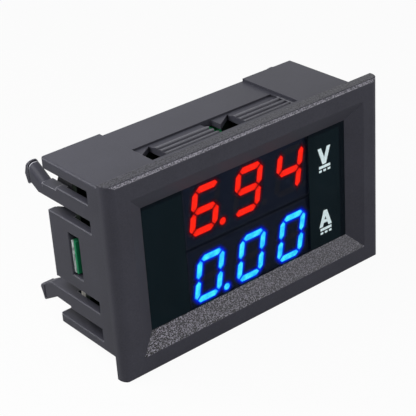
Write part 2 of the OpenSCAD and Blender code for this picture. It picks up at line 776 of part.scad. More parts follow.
// Three narrow leads below the regulator and one wide tab above it
module regulator_leads() color(tin) {
    edge = regulator_size[1] / 2;
    lead_y = [board_rear, board_rear + regulator_lead[2]];
    for (k = [0:regulator_lead_count - 1])
        translate([spread(k, regulator_lead_count, regulator_lead[0]), 0, upper_z])
            block([-regulator_lead[1] / 2, regulator_lead[1] / 2], lead_y,
                  [-edge - regulator_reach, -edge]);
    block([-regulator_tab_w / 2, regulator_tab_w / 2], lead_y,
          [upper_z + edge, upper_z + edge + regulator_reach]);
}
module protection_diode() color(chip_black) chip(diode_x, lower_z, diode_size, 0);
// One flat lead at each end of the diode: width, height and thickness
module diode_leads() color(tin) {
    edge = diode_size[1] / 2;
    translate([diode_x, 0, lower_z]) top_and_bottom()
        block([-diode_lead[0] / 2, diode_lead[0] / 2], [board_rear, board_rear + diode_lead[1]],
              [edge, edge + diode_lead[2]]);
}

// Storage capacitor: sleeved can with a rolled groove, standing on its seal
module capacitor_base() color([0.15, 0.15, 0.16])
    translate([capacitor_x, 0, capacitor_z])
        rod(capacitor_d / 2 - seal_in, [board_rear, board_rear + seal_t]);
module storage_capacitor() color([0.08, 0.08, 0.09]) {
    r = capacitor_d / 2;
    translate([capacitor_x, board_rear + seal_t, capacitor_z]) rotate([-90, 0, 0])
        difference() {
            rotate_extrude() {
                square([r, capacitor_h - can_edge_r]);
                square([r - can_edge_r, capacitor_h]);
                translate([r - can_edge_r, capacitor_h - can_edge_r]) circle(can_edge_r);
            }
            translate([0, 0, can_groove_y]) rotate_extrude() translate([r, 0]) circle(can_groove_r);
        }
}

// Carries its children to every second place: kind 0 for ceramic capacitors, 1 for resistors
module at_chips(kind) {
    for (k = [0:chip_column_count - 1]) if (k % 2 == kind)
        translate([chip_column_x, board_rear,
                   display_z + spread(k, chip_column_count, chip_column_pitch)])
            rotate([0, 90, 0]) children();
    for (k = [0:chip_row_count - 1]) if (k % 2 == kind)
        translate([display_x + spread(k, chip_row_count, chip_row_pitch), board_rear, display_z])
            children();
}
// Block of a length and a height about a place along a small chip
module chip_block(l, t, x) {
    translate([x - l / 2, 0, -chip_w / 2]) cube([l, t, chip_w]);
}
module ceramic_capacitors() color([0.7, 0.58, 0.42]) at_chips(0) chip_block(chip_l, ceramic_t, 0);
module chip_resistors() color([0.1, 0.1, 0.1]) at_chips(1) chip_block(chip_l, resistor_t, 0);
module chip_end_caps() color(tin) {
    cap_x = (chip_l + chip_cap_l) / 2;
    for (side = [-1, 1]) {
        at_chips(0) chip_block(chip_cap_l, ceramic_t, side * cap_x);
        at_chips(1) chip_block(chip_cap_l, resistor_t, side * cap_x);
    }
}

// Solder over the display pins' ends at the rear, and over the header pins' ends at the front
module solder_joint(pin_reach) {
    r = pin_reach + joint_margin;
    rotate([-90, 0, 0]) cylinder(r1 = r, r2 = r * joint_taper, h = joint_h);
}
module solder_joints() color([0.78, 0.79, 0.8]) {
    corner = sqrt(2) / 2;
    for (z = [upper_z, lower_z]) at_display_pins(z)
        translate([0, board_rear, 0]) solder_joint(display_pin_r);
    mirror([0, 1, 0]) translate([0, -board_y, 0]) {
        at_signal_pins() solder_joint(signal_pin * corner);
        at_current_pins() solder_joint(current_pin * corner);
    }
}

// Board with its side tabs, the score mark of its sawn edge, and its pin holes
module circuit_board() color([0.1, 0.42, 0.2]) difference() {
    middle_y = board_y + board_t / 2;
    through = [board_y - eps, board_rear + eps];
    union() {
        block([-board_w / 2, board_w / 2], [board_y, board_rear], [-board_h / 2, board_h / 2]);
        block([-tab_x, tab_x], [board_y, board_rear], [tab_z - tab_h / 2, tab_z + tab_h / 2]);
    }
    left_and_right()
        prism_z([[tab_x + eps, middle_y - score_w], [tab_x + eps, middle_y + score_w],
                 [tab_x - score_d, middle_y]], [tab_z - tab_h / 2 - eps, tab_z + tab_h / 2 + eps]);
    for (z = [upper_z, lower_z]) at_display_pins(z) rod(board_hole_r, through);
    signal_pin_holes(through);
    current_pin_holes(through);
}

housing();
window();
circuit_board();
upper_display();
upper_lit_segments();
upper_dark_segments();
upper_display_pins();
lower_display();
lower_lit_segments();
lower_dark_segments();
lower_display_pins();
signal_header();
signal_pins();
current_header();
current_pins();
current_shunt();
voltage_trimmer();
voltage_trimmer_rotor();
current_trimmer();
current_trimmer_rotor();
trimmer_terminals();
microcontroller();
microcontroller_leads();
amplifier_chip();
amplifier_leads();
voltage_regulator();
regulator_leads();
protection_diode();
diode_leads();
capacitor_base();
storage_capacitor();
ceramic_capacitors();
chip_resistors();
chip_end_caps();
solder_joints();
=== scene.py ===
import json
import math

import bmesh
import bpy
from mathutils import Matrix, Vector


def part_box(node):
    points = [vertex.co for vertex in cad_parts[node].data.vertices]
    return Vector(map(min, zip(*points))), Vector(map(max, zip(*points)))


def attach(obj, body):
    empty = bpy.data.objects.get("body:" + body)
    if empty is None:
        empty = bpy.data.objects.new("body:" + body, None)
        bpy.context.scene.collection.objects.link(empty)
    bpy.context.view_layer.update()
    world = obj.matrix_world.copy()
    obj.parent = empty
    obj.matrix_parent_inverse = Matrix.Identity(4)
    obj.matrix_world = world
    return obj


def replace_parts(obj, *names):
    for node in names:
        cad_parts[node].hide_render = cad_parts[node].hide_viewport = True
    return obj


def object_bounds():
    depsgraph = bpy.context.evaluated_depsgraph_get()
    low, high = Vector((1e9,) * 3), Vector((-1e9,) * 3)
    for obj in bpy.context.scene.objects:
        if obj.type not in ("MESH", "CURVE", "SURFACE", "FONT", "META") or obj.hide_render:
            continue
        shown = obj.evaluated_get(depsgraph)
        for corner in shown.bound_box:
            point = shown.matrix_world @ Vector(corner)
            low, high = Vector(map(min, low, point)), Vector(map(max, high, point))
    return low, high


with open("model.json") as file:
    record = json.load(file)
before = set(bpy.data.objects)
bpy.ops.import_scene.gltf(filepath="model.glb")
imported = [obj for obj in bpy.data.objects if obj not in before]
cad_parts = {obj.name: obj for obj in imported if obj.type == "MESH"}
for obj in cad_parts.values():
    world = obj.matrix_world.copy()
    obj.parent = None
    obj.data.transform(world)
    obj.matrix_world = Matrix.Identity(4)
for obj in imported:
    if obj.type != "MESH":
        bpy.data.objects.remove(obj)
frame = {"nodes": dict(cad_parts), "record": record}
cad_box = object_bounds()
scene = bpy.context.scene
MM = 0.001
BODY = "meter"

# View of the photograph: places in mm, angles in degrees
CAMERA_PLACE = (-103.546, -124.150, 88.489)
CAMERA_AZIMUTH = -37.94
CAMERA_ELEVATION = 28.05
CAMERA_ROLL = -4.0
CAMERA_LENS = 115.71
CAMERA_SENSOR = 36.0
CAMERA_NEAR = 10.0

# Lamps, all aimed at the object: direction, distance and side in mm, power in watts
LAMPS = {
    "overhead_softbox": ((-0.52, 0.26, 0.81), 105, 70, 0.086),
    "rear_left_lamp": ((-0.49, 0.74, 0.455), 420, 120, 0.45),
    "right_front_lamp": ((0.552, -0.786, 0.279), 478, 200, 0.85),
    "camera_side_lamp": ((-0.36, -0.74, 0.57), 400, 120, 0.45),
}
# Dome of soft light: brightest towards one direction, darkest on the far side
DOME_TOWARDS = (-0.30, 0.45, 0.84)
DOME_BRIGHT = 0.2
DOME_DARK = 0.02
# Floor: half its side in mm, its colour, and its share of white for the camera and in reflections
FLOOR_HALF = 3000.0
FLOOR_COLOUR = 0.53
FLOOR_WHITE = 0.95
FLOOR_WHITE_REFLECTED = 0.05

# Unit marks printed on the window, in mm
PRINT_T = 0.012
MARK_W = 2.47
MARK_H = 2.6
MARK_STROKE = 0.68
MARK_X = 12.9
VOLT_MARK_Z = 3.86
AMPERE_MARK_Z = -6.19
CROSSBAR_Z = (0.55, 1.05)
BAR_W = 2.2
BAR_INSET = 0.2
BAR_H = 0.42
BAR_DROP = 0.42
DASH_COUNT = 3
DASH_H = 0.33
DASH_DROP = 1.02
DASH_GAP = 0.3

# Lit segments: width of the dimmer edge in mm, and its largest share of a narrow segment's width
LIGHT_EDGE = 0.14
LIGHT_EDGE_SHARE = 0.45
LIGHT_STRENGTH = 1.75
# Glow of the dimmest and of the brightest patches
PATCH_GLOW = (0.62, 1.12)
# An outline with this many points is a round dot
DOT_POINTS = 10
# Light spilt round a segment: distance in mm and glow of each ring, then its depth and the step between
SPILL_STEPS = ((0.0, 1.0), (0.12, 0.45), (0.3, 0.12), (0.6, 0.0))
SPILL_DEPTH = 0.02
SPILL_LAYER = 0.002
# Points this near in depth lie on one face, and a turn smaller than this is straight
SAME_DEPTH = 0.01
STRAIGHT = 1e-6

# Circuit board dressing, in mm
SILK_W = 0.15
SILK_T = 0.015
SILK_MARGIN = 0.35
SILK_HOOK = 0.7
SILK_RING_SIDES = 48
PIN_DOT_R = 0.28
PIN_DOT_SIDES = 20
PIN_DOT_SHIFT = (0.77, 0.70)
PAD_MARGIN = 0.18
PAD_T = 0.03
FOOT_H = 0.25
TRACE_T = 0.02
TRACE_W = 0.3
POWER_TRACE_W = 0.55
VIA_RING_R = 0.26
VIA_RING_SIDES = 20
VIA_LIP_R = 0.07
VIA_LIP_SIDES = 8
# Rows of traces that end in a via: where the first starts, its run along X, the step along Z, how many
VIA_TRACES = (
    ((-5.5, -7.2), -2.0, 1.2, 3),
    ((-5.5, -6.6), -2.9, 1.2, 3),
    ((0.7, -7.0), 1.5, 0.9, 4),
    ((13.0, -7.6), -1.5, 0.9, 4),
)
# Rows of vias alone: the first one's place, the step along X, how many
VIA_ROWS = (
    ((2.6, 10.25), 2.5, 5),
    ((-10.0, -10.35), 2.5, 9),
)
# Other traces under the mask: width and the places along the line
TRACES = (
    (POWER_TRACE_W, ((-13.4, 10.2), (0.3, 10.2), (0.3, 7.0))),
    (TRACE_W, ((13.2, 6.8), (10.6, 6.8))),
    (TRACE_W, ((13.2, 4.4), (10.6, 4.4))),
    (POWER_TRACE_W, ((13.2, 2.0), (10.6, 2.0))),
)
# Copper areas under the mask at the shunt's legs: X and Z limits
POURS = ((-20.2, -16.5, 0.0, 2.9), (-12.2, -8.8, 0.0, 2.9))

# Edges of the housing: lengths in mm, angles in degrees
MERGE_GAP = 0.0001
FLAT_ANGLE = 0.5
CHAMFER_W = 0.12
SHARP_ANGLE = 50
SHARP_LENGTH = 1.2
SMOOTH_ANGLE = 20
FACE_WEIGHT = 100
# The side walls and their arms lie outside this X
SIDE_WALL_X = 19.0

# Grey moulding: sizes and places in mm, shares from 0 to 1
EDGE_SHINE = 0.05
CLOUD_SHARE = 0.4
# The bezel lies in front of this Y, and its upward faces have a leather grain
BEZEL_GRAIN_Y = 0.2
LEATHER_SIZE = 0.15
LEATHER_STRETCH = (0.8, 1.0, 1.0)
LEATHER_DISTORTION = 0.4
PITTED_SHARE = 0.7
# The lower slope's grain has bright specks painted as highlight glints, which fade along X to a share
GLINT_FADING_X = (-20.0, 16.0)
GLINT_FADED_SHARE = 0.4
# Crests of the serrated grips, painted paler as a highlight
CREST_X = 12.6
CREST_Y = (3.2, 7.0)
CREST_Z = 12.40
# Painted edge highlights and painted shade in recesses: reach, and the open shares between which they fade
EDGE_HIGHLIGHT_REACH = 0.14
EDGE_HIGHLIGHT_SPREAD = (0.5, 0.85)
RECESS_REACH = 1.5
RECESS_SPREAD = (0.15, 0.65)
RECESS_SHADE = 0.1

# Places of the other finishes, in mm
CLEAR_SHIFT = 0.5
# Widths of the painted shadow along the window's right side and top
SHADED_SIDE = 1.9
SHADED_TOP = 1.4
# X limits of a painted patch of light on the board's front face
PAINTED_LIGHT_X = (1.4, 3.8)
SAWN_W = 0.2
TAB_W = 0.9
# Width of the painted highlight along the display faces' edges
DISPLAY_SHEEN_W = 0.25
POINTER_W = 0.28
POINTER_R = (0.78, 1.2)
SLOT_FLOOR_DEPTH = 0.05
CAN_END_R = 2.55
CAN_END_T = 0.1
CAN_SCORE = 0.12
CAN_STRIPE_W = 1.8

# Share of a face's normal along an axis: from tilted to almost level
TILTED = 0.3
HALF_LEVEL = 0.5
LEVEL = 0.9
# Most values of a noise lie between these
NOISE_SPREAD = (0.3, 0.7)
# Rays that look for an edge, and for what is near a face
EDGE_SAMPLES = 6
OPEN_SAMPLES = 8


# Node helpers
def new_node(tree, kind, **settings):
    made = tree.nodes.new(kind)
    for key, value in settings.items():
        setattr(made, key, value)
    return made


def connect(tree, *pairs):
    """Links each source socket to its target."""
    for source, target in pairs:
        tree.links.new(source, target)


# Mesh helpers
def link(piece):
    scene.collection.objects.link(piece)
    return piece


def mesh_piece(name, vertices, faces, material):
    """A new piece at the origin whose places are given in metres, riding on the meter."""
    mesh = bpy.data.meshes.new(name)
    mesh.from_pydata([tuple(v) for v in vertices], [], faces)
    shape = bmesh.new()
    shape.from_mesh(mesh)
    bmesh.ops.recalc_face_normals(shape, faces=shape.faces)
    shape.to_mesh(mesh)
    shape.free()
    mesh.materials.append(material)
    piece = link(bpy.data.objects.new(name, mesh))
    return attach(piece, BODY)


def circle(x, z, r, sides):
    """Points in X and Z round a circle."""
    turns = [2 * math.pi * k / sides for k in range(sides)]
    return [(x + r * math.cos(t), z + r * math.sin(t)) for t in turns]


class Sheet:
    """Gathers flat outlines in X and Z as thin plates that lie on one depth."""

    def __init__(self, base_y, top_y):
        self.base_y = base_y
        self.top_y = top_y
        self.vertices = []
        self.faces = []

    def plate(self, outline):
        first = len(self.vertices)
        count = len(outline)
        for y in (self.base_y, self.top_y):
            self.vertices += [Vector((x, y, z)) * MM for x, z in outline]
        self.faces.append([first + k for k in range(count)])
        self.faces.append([first + count + k for k in reversed(range(count))])
        for k in range(count):
            after = (k + 1) % count
            self.faces.append([first + after, first + k, first + count + k, first + count + after])

    def rectangle(self, x0, x1, z0, z1):
        self.plate([(x0, z0), (x1, z0), (x1, z1), (x0, z1)])

    def strip(self, points, width):
        """A flat line of one width along points."""
        for (x0, z0), (x1, z1) in zip(points, points[1:]):
            along = Vector((x1 - x0, z1 - z0)).normalized() * width / 2
            side = Vector((-along.y, along.x))
            ends = (Vector((x0, z0)) - along, Vector((x1, z1)) + along)
            self.plate([ends[0] - side, ends[1] - side, ends[1] + side, ends[0] + side])

    def frame_line(self, x0, x1, z0, z1, width):
        """Four lines round a rectangle."""
        self.rectangle(x0, x1, z0, z0 + width)
        self.rectangle(x0, x1, z1 - width, z1)
        self.rectangle(x0, x0 + width, z0 + width, z1 - width)
        self.rectangle(x1 - width, x1, z0 + width, z1 - width)

    def piece(self, name, material, slot):
        return mesh_piece(name, self.vertices, self.faces, material)


def merged_shape(node):
    """A CAD node's mesh with its loose triangles joined."""
    shape = bmesh.new()
    shape.from_mesh(frame["nodes"][node].data)
    bmesh.ops.remove_doubles(shape, verts=shape.verts, dist=MERGE_GAP * MM)
    return shape


def left_then_low(points):
    """Where a solid comes in a sorted row: by its left end, then by its lower end."""
    return round(min(p.x for p in points), 3), min(p.z for p in points)


def islands(node):
    """The separate solids of a CAD node, each a list of points in mm, from left to right."""
    shape = merged_shape(node)
    left = set(shape.verts)
    found = []
    while left:
        group = {left.pop()}
        fresh = list(group)
        while fresh:
            near = {e.other_vert(v) for v in fresh for e in v.link_edges} - group
            group |= near
            fresh = list(near)
        left -= group
        found.append([v.co / MM for v in group])
    shape.free()
    return sorted(found, key=left_then_low)


def node_box(node):
    """Two corners of a CAD node's box in mm."""
    low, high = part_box(node)
    return low / MM, high / MM


def keep_result(piece, name):
    """Keeps what the modifiers make as a plain mesh and takes the modifiers off."""
    bpy.context.view_layer.update()
    mesh = bpy.data.meshes.new_from_object(piece.evaluated_get(bpy.context.evaluated_depsgraph_get()))
    piece.modifiers.clear()
    piece.data = mesh
    mesh.name = name


def long_and_sharp(edge):
    """True for an outer edge of a side wall or arm that gets a chamfer."""
    return (len(edge.link_faces) == 2 and edge.is_convex
            and edge.calc_face_angle() > math.radians(SHARP_ANGLE)
            and edge.calc_length() > SHARP_LENGTH * MM
            and min(abs(v.co.x) for v in edge.verts) > SIDE_WALL_X * MM)


def chamfered_copy(node, name, width):
    """A copy of a CAD node whose long sharp edges have a small chamfer."""
    shape = merged_shape(node)
    bmesh.ops.dissolve_limit(shape, angle_limit=math.radians(FLAT_ANGLE),
                             verts=shape.verts, edges=shape.edges)
    sharp = [e for e in shape.edges if long_and_sharp(e)]
    bmesh.ops.bevel(shape, geom=sharp, offset=width * MM, offset_type="OFFSET", segments=1, profile=0.5,
                    affect="EDGES", clamp_overlap=False)
    for face in shape.faces:
        face.smooth = True
    for edge in shape.edges:
        edge.smooth = len(edge.link_faces) == 2 and edge.calc_face_angle() < math.radians(SMOOTH_ANGLE)
    mesh = bpy.data.meshes.new(name)
    shape.to_mesh(mesh)
    shape.free()
    piece = link(bpy.data.objects.new(name, mesh))
    even = piece.modifiers.new("even_faces", "WEIGHTED_NORMAL")
    even.keep_sharp = True
    even.weight = FACE_WEIGHT
    keep_result(piece, name)
    return piece


# Material helper
class Finish:
    """A node material round one Principled shader, fed by Object coordinates.

    A mask is a value that is 1 on some faces and 0 on the others.
    """

    def __init__(self, name):
        self.material = bpy.data.materials.new(name)
        self.material.use_nodes = True
        self.tree = self.material.node_tree
        self.shader = self.tree.nodes["Principled BSDF"]
        coordinates = self.node("ShaderNodeTexCoord")
        self.place = coordinates.outputs["Object"]
        self.normal = coordinates.outputs["Normal"]

    def node(self, kind, **settings):
        return new_node(self.tree, kind, **settings)

    def feed(self, socket, value):
        if hasattr(value, "is_output"):
            self.tree.links.new(value, socket)
        else:
            socket.default_value = value

    def set(self, **values):
        """Sets shader sockets; an underscore in a name stands for a space."""
        for key, value in values.items():
            self.feed(self.shader.inputs[key.replace("_", " ")], value)

    def stretched(self, scale):
        """Object coordinates with each axis scaled."""
        mapping = self.node("ShaderNodeMapping")
        self.feed(mapping.inputs["Vector"], self.place)
        mapping.inputs["Scale"].default_value = scale
        return mapping.outputs["Vector"]

    def folded(self):
        """Object coordinates without their signs, so that opposite sides are alike."""
        made = self.node("ShaderNodeVectorMath", operation="ABSOLUTE")
        self.feed(made.inputs[0], self.place)
        return made.outputs["Vector"]

    def axis(self, name, vector=None):
        """One of X, Y and Z of a vector, of the place by default."""
        made = self.node("ShaderNodeSeparateXYZ")
        self.feed(made.inputs["Vector"], vector or self.place)
        return made.outputs[name]

    def attribute(self, name):
        return self.node("ShaderNodeAttribute", attribute_name=name).outputs["Fac"]

    def noise(self, size, detail=2.0, roughness=0.5, vector=None, distortion=0.0):
        """Noise whose grains are about size mm wide; distortion draws them out into worms."""
        made = self.node("ShaderNodeTexNoise")
        self.feed(made.inputs["Vector"], vector or self.place)
        made.inputs["Scale"].default_value = 1 / (size * MM)
        made.inputs["Detail"].default_value = detail
        made.inputs["Roughness"].default_value = roughness
        made.inputs["Distortion"].default_value = distortion
        return made.outputs["Fac"]

    def ramp(self, factor, *stops):
        """Colours at stops from 0 to 1."""
        made = self.node("ShaderNodeValToRGB")
        self.feed(made.inputs["Fac"], factor)
        elements = made.color_ramp.elements
        while len(elements) < len(stops):
            elements.new(0.5)
        for element, (position, colour) in zip(elements, stops):
            element.position = position
            element.color = (*colour, 1)
        return made.outputs["Color"]

    def tones(self, noise, dark, light):
        """Two tones of a colour over the usual spread of a noise."""
        return self.ramp(noise, (NOISE_SPREAD[0], dark), (NOISE_SPREAD[1], light))

    def mix(self, factor, a, b):
        """Two colours mixed by a factor."""
        made = self.node("ShaderNodeMix", data_type="RGBA")
        self.feed(made.inputs["Factor"], factor)
        for socket, value in ((made.inputs[6], a), (made.inputs[7], b)):
            self.feed(socket, (*value, 1) if isinstance(value, tuple) else value)
        return made.outputs[2]

    def span(self, factor, low, high, from_low=0.0, from_high=1.0):
        """A factor carried to another range."""
        made = self.node("ShaderNodeMapRange")
        self.feed(made.inputs["Value"], factor)
        made.inputs["From Min"].default_value = from_low
        made.inputs["From Max"].default_value = from_high
        made.inputs["To Min"].default_value = low
        made.inputs["To Max"].default_value = high
        return made.outputs["Result"]

    def math(self, operation, a, b=0.0):
        made = self.node("ShaderNodeMath", operation=operation)
        self.feed(made.inputs[0], a)
        self.feed(made.inputs[1], b)
        return made.outputs["Value"]

    def above(self, value, limit):
        return self.math("GREATER_THAN", value, limit)

    def below(self, value, limit):
        return self.math("LESS_THAN", value, limit)

    def between(self, value, low, high):
        return self.both(self.above(value, low), self.below(value, high))

    def both(self, a, b):
        """Two values multiplied: where two masks meet, or a share of one value."""
        return self.math("MULTIPLY", a, b)

    def either(self, a, b):
        return self.math("MAXIMUM", a, b)

    def without(self, a, b):
        """The first mask where the second one isn't."""
        return self.both(a, self.math("SUBTRACT", 1.0, b))

    def open_share(self, reach, inside=False):
        """1 on open faces, less in grooves within a reach in mm; from inside, less along outer edges."""
        made = self.node("ShaderNodeAmbientOcclusion", samples=OPEN_SAMPLES, only_local=True, inside=inside)
        made.inputs["Distance"].default_value = reach * MM
        return made.outputs["AO"]

    def rounded_edges(self, radius):
        """Normals that run smoothly over sharp edges, as over a radius in mm."""
        made = self.node("ShaderNodeBevel", samples=EDGE_SAMPLES)
        made.inputs["Radius"].default_value = radius * MM
        return made.outputs["Normal"]

    def bump(self, height, depth, strength=1.0, normal=None):
        """Relief of a depth in mm."""
        made = self.node("ShaderNodeBump")
        made.inputs["Distance"].default_value = depth * MM
        self.feed(made.inputs["Strength"], strength)
        self.feed(made.inputs["Height"], height)
        if normal is not None:
            self.feed(made.inputs["Normal"], normal)
        self.feed(self.shader.inputs["Normal"], made.outputs["Normal"])


# Finishes
def painted_crest_highlight(f):
    """Mask of the crests of the serrated grips, in the top wall and in the bottom wall, which are painted
    pale as a highlight.
    """
    along = f.between(f.axis("Y"), CREST_Y[0] * MM, CREST_Y[1] * MM)
    across = f.between(f.axis("X"), -CREST_X * MM, CREST_X * MM)
    return f.both(f.above(f.axis("Z", f.folded()), CREST_Z * MM), f.both(along, across))


def painted_edge_highlight(f):
    """Mask of a painted highlight along the outer edges of the side walls and arms, behind the bezel."""
    side = f.above(f.axis("X", f.folded()), SIDE_WALL_X * MM)
    behind = f.above(f.axis("Y"), BEZEL_GRAIN_Y * MM)
    edge = f.span(f.open_share(EDGE_HIGHLIGHT_REACH, inside=True), 1.0, 0.0, *EDGE_HIGHLIGHT_SPREAD)
    return f.both(edge, f.both(side, behind))


def moulded_grey():
    """Dark grey moulding, smooth on its body and grained on the bezel's upward faces, with painted
    highlights on edges, grip crests and the bezel's slopes, and painted shade in recesses.
    """
    f = Finish("moulded_grey")
    cloud = f.noise(6.0, 3.0)
    grain = f.noise(0.22, 1.0)
    leather = f.noise(LEATHER_SIZE, 1.0, 0.5, f.stretched(LEATHER_STRETCH), LEATHER_DISTORTION)
    upward = f.axis("Z", f.normal)
    bezel = f.below(f.axis("Y"), BEZEL_GRAIN_Y * MM)
    grained = f.both(bezel, f.above(upward, TILTED))
    tilted = f.both(bezel, f.between(upward, TILTED, LEVEL))
    lower_slope = f.both(tilted, f.below(f.axis("Z"), 0.0))
    top_edge = f.without(tilted, lower_slope)
    flat_top = f.both(bezel, f.above(upward, LEVEL))
    glint_fading = f.span(f.axis("X"), 1.0, GLINT_FADED_SHARE, GLINT_FADING_X[0] * MM, GLINT_FADING_X[1] * MM)
    tone = f.math("ADD", f.both(cloud, CLOUD_SHARE), f.both(grain, 1 - CLOUD_SHARE))
    grain_and_painted_glints = f.ramp(leather, (0.50, (0.002, 0.002, 0.004)), (0.59, (0.26, 0.247, 0.30)))
    rim = f.ramp(leather, (0.40, (0.060, 0.060, 0.070)), (0.60, (0.25, 0.24, 0.28)))
    pitted = f.ramp(leather, (0.40, (0.002, 0.002, 0.004)), (0.62, (0.055, 0.055, 0.070)))
    surface = f.tones(tone, (0.040, 0.040, 0.051), (0.052, 0.052, 0.067))
    # painted highlight: the grip crests are paler
    surface = f.mix(painted_crest_highlight(f), surface, (0.15, 0.15, 0.17))
    # painted highlight: a pale colour along the outer edges of the side walls and arms
    surface = f.mix(painted_edge_highlight(f), surface, (0.42, 0.42, 0.46))
    # grain with a painted highlight: bright glints on the bezel's lower slope, fading along X
    surface = f.mix(f.both(lower_slope, glint_fading), surface, grain_and_painted_glints)
    # painted highlight: a pale grained line along the bezel's top edge
    surface = f.mix(top_edge, surface, rim)
    surface = f.mix(f.both(flat_top, PITTED_SHARE), surface, pitted)
    # painted shade: the colour darkens to near black in grooves and recesses
    painted_recess_shade = f.span(f.open_share(RECESS_REACH), RECESS_SHADE, 1.0, *RECESS_SPREAD)
    f.set(Base_Color=f.mix(painted_recess_shade, (0.006, 0.006, 0.008), surface),
          Roughness=f.math("ADD", f.span(grained, 0.36, 0.18), f.span(grain, 0.0, 0.08)),
          Specular_IOR_Level=0.13)
    f.bump(grain, 0.10, f.span(grained, 0.03, 0.6), f.rounded_edges(EDGE_SHINE))
    return f.material


def tinted_sheet():
    """Dark sheet: clearer in front of the displays, printed a deep teal on both sides of them, with painted
    shadow along its right side and top.
    """
    f = Finish("tinted_sheet")
    low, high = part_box("upper_display")
    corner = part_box("window")[1]
    clear = f.between(f.axis("X"), low.x - CLEAR_SHIFT * MM, high.x - CLEAR_SHIFT * MM)
    shaded = f.either(f.above(f.axis("X"), corner.x - SHADED_SIDE * MM),
                      f.above(f.axis("Z"), corner.z - SHADED_TOP * MM))
    cloud = f.noise(9.0)
    print_and_painted_shadow = f.tones(cloud, (0.0036, 0.0092, 0.0125), (0.0048, 0.0122, 0.0168))
    # painted shadow: the print is darker along the right side and the top, as the bezel's shade
    print_and_painted_shadow = f.mix(shaded, print_and_painted_shadow, (0.0018, 0.0048, 0.0085))
    clear_tone = f.tones(cloud, (0.0028, 0.0056, 0.0130), (0.0042, 0.0078, 0.0180))
    f.set(Base_Color=f.mix(clear, print_and_painted_shadow, clear_tone), Roughness=f.span(f.noise(0.6), 0.12, 0.18),
          Specular_IOR_Level=0.05, Alpha=f.span(clear, 0.97, 0.42))
    return f.material


def solder_mask():
    """Green solder mask with pale sawn fibre on the tabs' ends; its front face has painted shade, near
    black, behind the displays with a bright painted patch of light, and its long edges are painted near
    black as shade.
    """
    f = Finish("solder_mask")
    low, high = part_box("circuit_board")
    across = f.axis("X", f.folded())
    rearward = f.axis("Y", f.normal)
    facing = f.math("ABSOLUTE", rearward)
    tab_end = f.above(across, high.x - TAB_W * MM)
    sawn = f.both(f.above(across, high.x - SAWN_W * MM), f.above(f.axis("Y"), (low.y + high.y) / 2))
    front = f.below(rearward, -LEVEL)
    bare = f.either(tab_end, f.between(f.axis("X"), PAINTED_LIGHT_X[0] * MM, PAINTED_LIGHT_X[1] * MM))
    weave = f.noise(0.3, 2.0, 0.6, f.stretched((1.0, 1.0, 0.5)))
    mask = f.tones(f.noise(1.6, 3.0), (0.008, 0.150, 0.062), (0.014, 0.210, 0.090))
    fibre = f.ramp(weave, (0.35, (0.16, 0.19, 0.19)), (0.65, (0.55, 0.60, 0.60)))
    # painted shade: the long edges away from the tab ends are near black
    edge = f.tones(weave, (0.006, 0.012, 0.007), (0.014, 0.022, 0.015))
    side = f.mix(sawn, f.mix(tab_end, edge, mask), fibre)
    # painted light: brighter green on the front face, kept only in a patch near the middle
    face = f.mix(f.without(front, tab_end), mask, (0.03, 0.40, 0.13))
    # painted shade: the rest of the front face, away from the tab ends, is near black
    face = f.mix(f.without(front, bare), face, (0.004, 0.009, 0.006))
    f.set(Base_Color=f.mix(f.above(facing, LEVEL), side, face),
          Roughness=f.span(facing, 0.8, 0.28), Specular_IOR_Level=0.2)
    f.bump(f.noise(0.5), 0.01, 0.5)
    return f.material


def display_black():
    """Black lacquered display face, a little paler along its edges with a painted highlight."""
    f = Finish("display_black")
    upper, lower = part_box("upper_display"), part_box("lower_display")
    middle_x = (upper[0].x + upper[1].x) / 2
    middle_z = (upper[0].z + lower[1].z) / 2
    across = f.math("ABSOLUTE", f.math("SUBTRACT", f.axis("X"), middle_x))
    upright = f.math("ABSOLUTE", f.math("SUBTRACT", f.axis("Z"), middle_z))
    painted_edge_sheen = f.either(f.above(across, upper[1].x - middle_x - DISPLAY_SHEEN_W * MM),
                    f.below(upright, upper[0].z - middle_z + DISPLAY_SHEEN_W * MM))
    grain = f.noise(0.3)
    face = f.tones(grain, (0.018, 0.027, 0.062), (0.026, 0.039, 0.086))
    f.set(Base_Color=f.mix(painted_edge_sheen, face, (0.036, 0.043, 0.070)),
          Roughness=f.span(grain, 0.5, 0.7), Specular_IOR_Level=0.3)
    f.bump(grain, 0.01, 0.5)
    return f.material


def unlit_filling():
    """Clear grey filling of a segment that isn't lit."""
    f = Finish("unlit_filling")
    cloud = f.noise(0.8)
    f.set(Base_Color=f.tones(cloud, (0.022, 0.025, 0.042), (0.034, 0.037, 0.060)),
          Roughness=f.span(cloud, 0.35, 0.5))
    return f.material


def lit_filling(name, edge, middle, core):
    """Glowing filling of a lit segment: brightest along its middle, deeper towards its edge."""
    f = Finish(name)
    patches = f.span(f.noise(1.1, 1.0), *PATCH_GLOW, *NOISE_SPREAD)
    glow = f.math("MULTIPLY", f.attribute("glow"), patches)
    f.set(Base_Color=f.mix(f.noise(0.5), edge, middle), Roughness=0.4,
          Emission_Color=f.ramp(glow, (0.0, edge), (0.5, middle), (1.0, core)),
          Emission_Strength=LIGHT_STRENGTH)
    return f.material


def light_spill(name, colour, strength):
    """Light that a lit segment spills into the sheet round it."""
    f = Finish(name)
    f.set(Base_Color=f.ramp(f.noise(0.5), (0.0, (0, 0, 0)), (1.0, (0.01, 0.01, 0.01))),
          Roughness=1.0, Specular_IOR_Level=0.0,
          Emission_Color=(*colour, 1), Emission_Strength=strength, Alpha=f.attribute("glow"))
    return f.material


